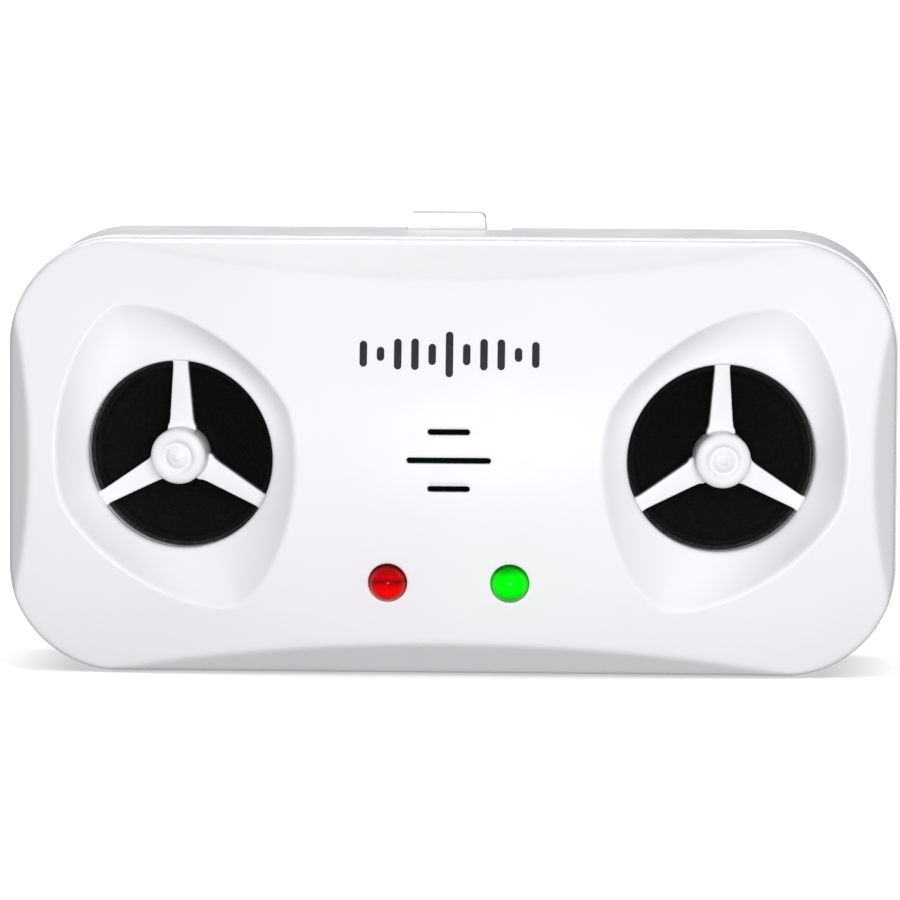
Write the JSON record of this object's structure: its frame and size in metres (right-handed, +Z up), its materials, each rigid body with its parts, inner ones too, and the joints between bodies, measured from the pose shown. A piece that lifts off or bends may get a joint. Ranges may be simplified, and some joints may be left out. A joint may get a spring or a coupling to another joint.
{
  "type": "ultrasonic pest repeller",
  "caption": "White twin-speaker ultrasonic pest repeller with slanted recessed speakers, indicator lights, vent slots and a sliding power switch on top.",
  "frame": {"origin": "middle of the underside, which stands on the floor", "axes": "+X to the viewer's right along the case's width, -Y out of the front face with the speakers, +Z up"},
  "size_m": [0.12, 0.04, 0.0612],
  "materials": {
    "shell_white": "satin moulded ABS",
    "guard_white": "satin moulded ABS",
    "cap_white": "satin moulded ABS",
    "foam_black": "closed-cell foam",
    "basket_black": "moulded, fine grain",
    "paper_black": "dyed pressed paper with a fine grain",
    "brass": "rolled sheet",
    "ceramic": "silvered piezo ceramic",
    "tag_board": "phenolic board",
    "screw_steel": "zinc plated",
    "led_red": "tinted clear epoxy",
    "led_green": "tinted clear epoxy",
    "tinned_metal": "tinned",
    "can_steel": "nickel plated sheet",
    "board_green": "solder mask over glass fibre",
    "chip_black": "moulded epoxy and nylon",
    "capacitor_sleeve": "shrink sleeve",
    "ferrite_coil": "enamelled copper on a ferrite drum",
    "resistor_tan": "lacquer",
    "wire_red": "pvc insulation",
    "label_white": "blank film label",
    "ink_black": "pad-printed ink"
  },
  "bodies": {
    "case": {"front_shell": "shell_white", "rear_shell": "shell_white", "guard_left": "guard_white", "guard_right": "guard_white", "speaker_gasket_left": "foam_black", "speaker_gasket_right": "foam_black", "speaker_frame_left": "basket_black", "speaker_frame_right": "basket_black", "speaker_cone_left": "paper_black", "speaker_cone_right": "paper_black", "piezo_disc_left": "brass", "piezo_disc_right": "brass", "piezo_ceramic_left": "ceramic", "piezo_ceramic_right": "ceramic", "speaker_terminals_left": "tag_board", "speaker_terminals_right": "tag_board", "speaker_screws": "screw_steel", "led_red": "led_red", "led_green": "led_green", "led_legs": "tinned_metal", "circuit_board": "board_green", "control_chip": "chip_black", "capacitors": "capacitor_sleeve", "choke_coil": "ferrite_coil", "transistors": "chip_black", "resistors": "resistor_tan", "inlet_housing": "chip_black", "inlet_contacts": "tinned_metal", "switch_can": "can_steel", "switch_base": "tag_board", "switch_terminals": "tinned_metal", "switch_screws": "screw_steel", "case_screws": "screw_steel", "board_screws": "screw_steel", "speaker_wires_left": "wire_red", "speaker_wires_right": "wire_red", "switch_wires": "wire_red", "rating_label": "label_white", "printed_symbol": "ink_black"},
    "switch": {"switch_slider": "chip_black", "switch_cap": "cap_white"}
  },
  "joints": [
    {"name": "switch_slide", "type": "slide", "parent": "case", "child": "switch", "axis": [1, 0, 0], "range_m": [0, 0.0033]}
  ]
}
